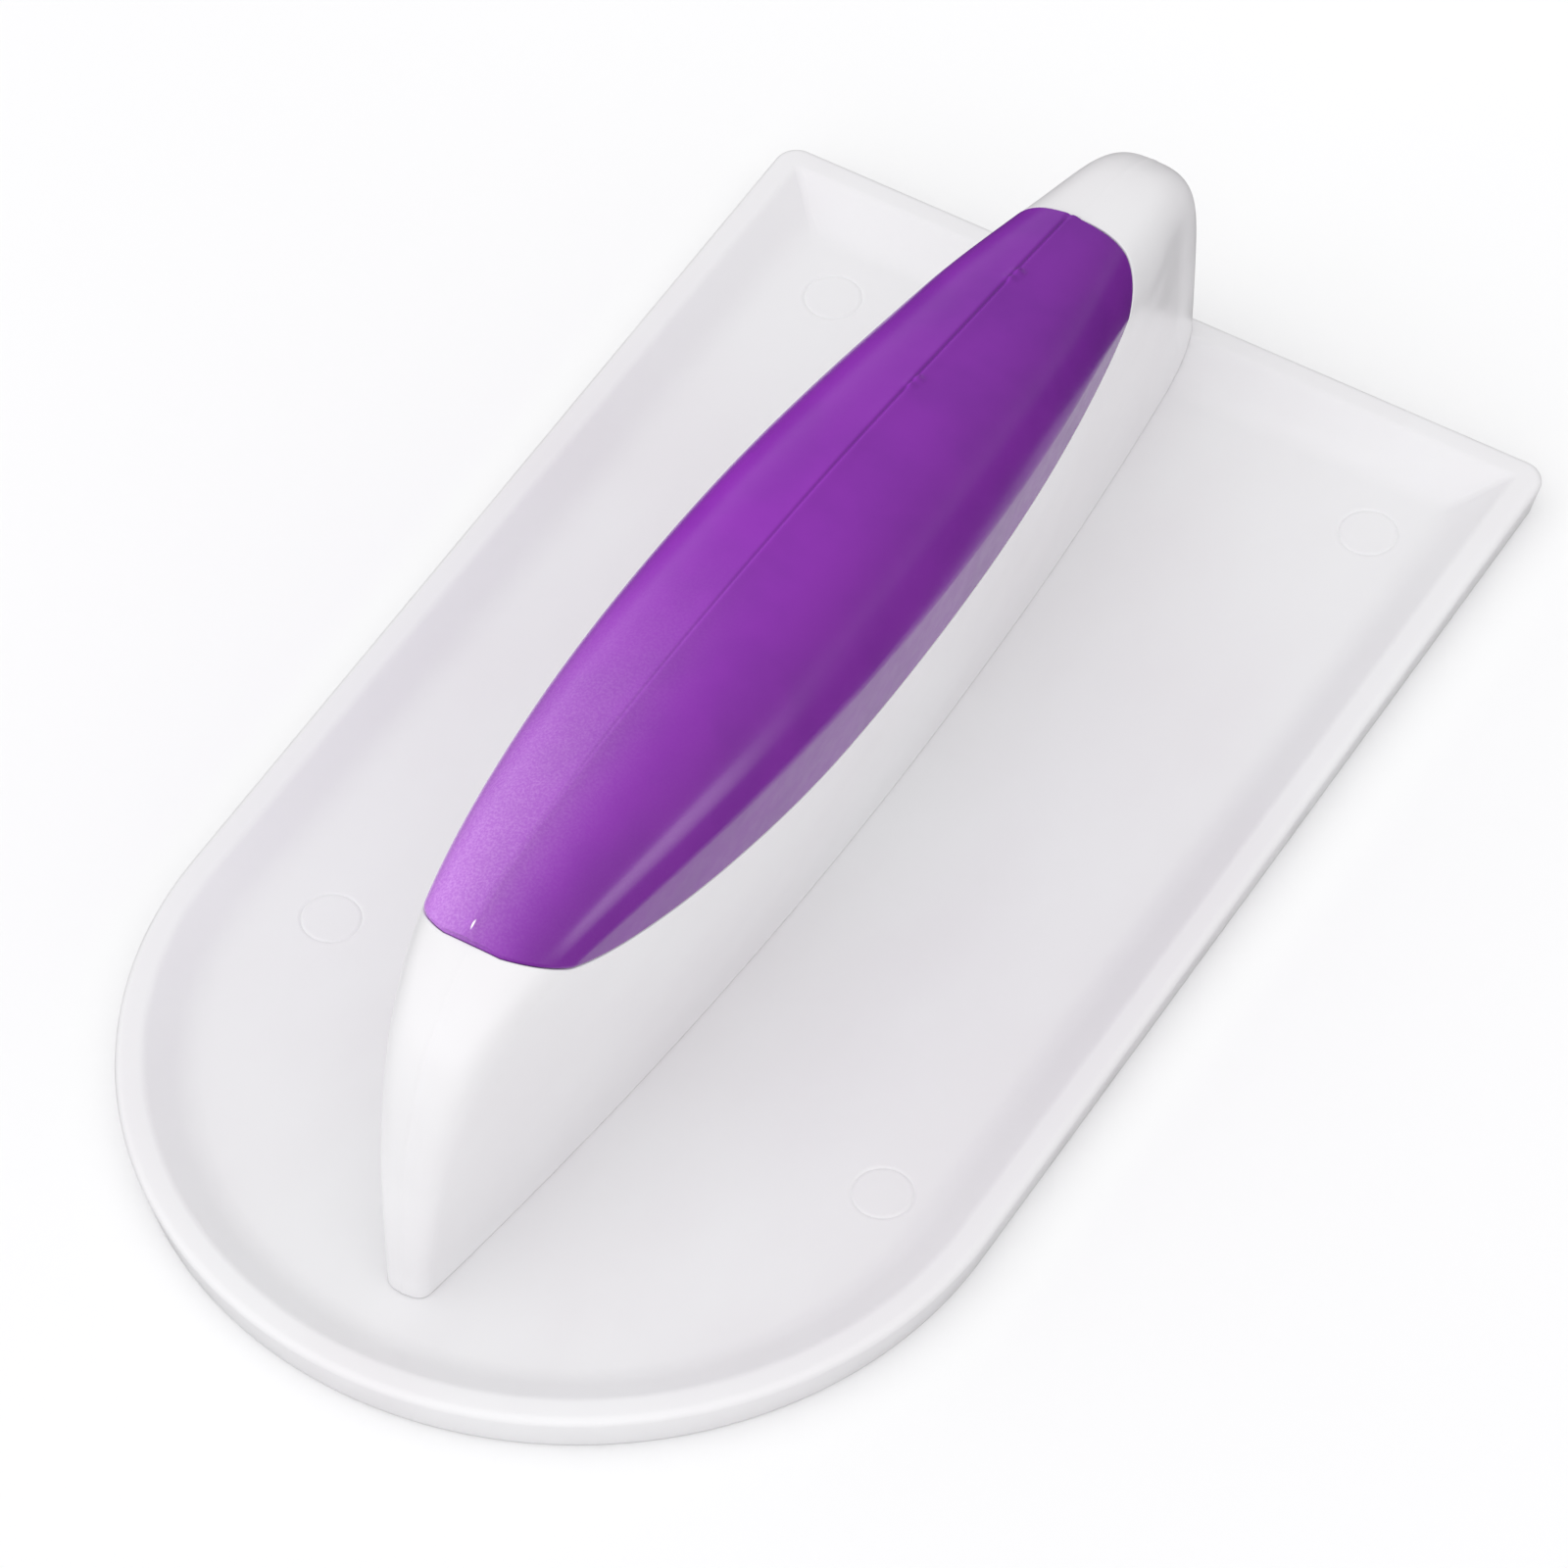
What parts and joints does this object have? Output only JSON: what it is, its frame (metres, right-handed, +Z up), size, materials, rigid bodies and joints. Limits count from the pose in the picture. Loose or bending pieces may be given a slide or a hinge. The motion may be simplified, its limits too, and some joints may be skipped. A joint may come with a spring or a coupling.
{
  "type": "cake icing smoother",
  "caption": "Flat tray-like smoothing plate with a round front and straight rear edge, and a raised hollow handle with a soft grip along its middle.",
  "frame": {"origin": "centre of the flat sole's outline box, on the sole's plane", "axes": "+Z up out of the sole, +Y towards the straight rear edge, the round front faces -Y, the tool is symmetric about x = 0"},
  "size_m": [0.0852, 0.15, 0.041],
  "materials": {
    "plate_white": "satin",
    "handle_white": "satin",
    "grip_purple": "matte soft touch"
  },
  "bodies": {
    "root": {"base_plate": "plate_white", "handle_shell": "handle_white", "grip_cover": "grip_purple"}
  },
  "joints": []
}
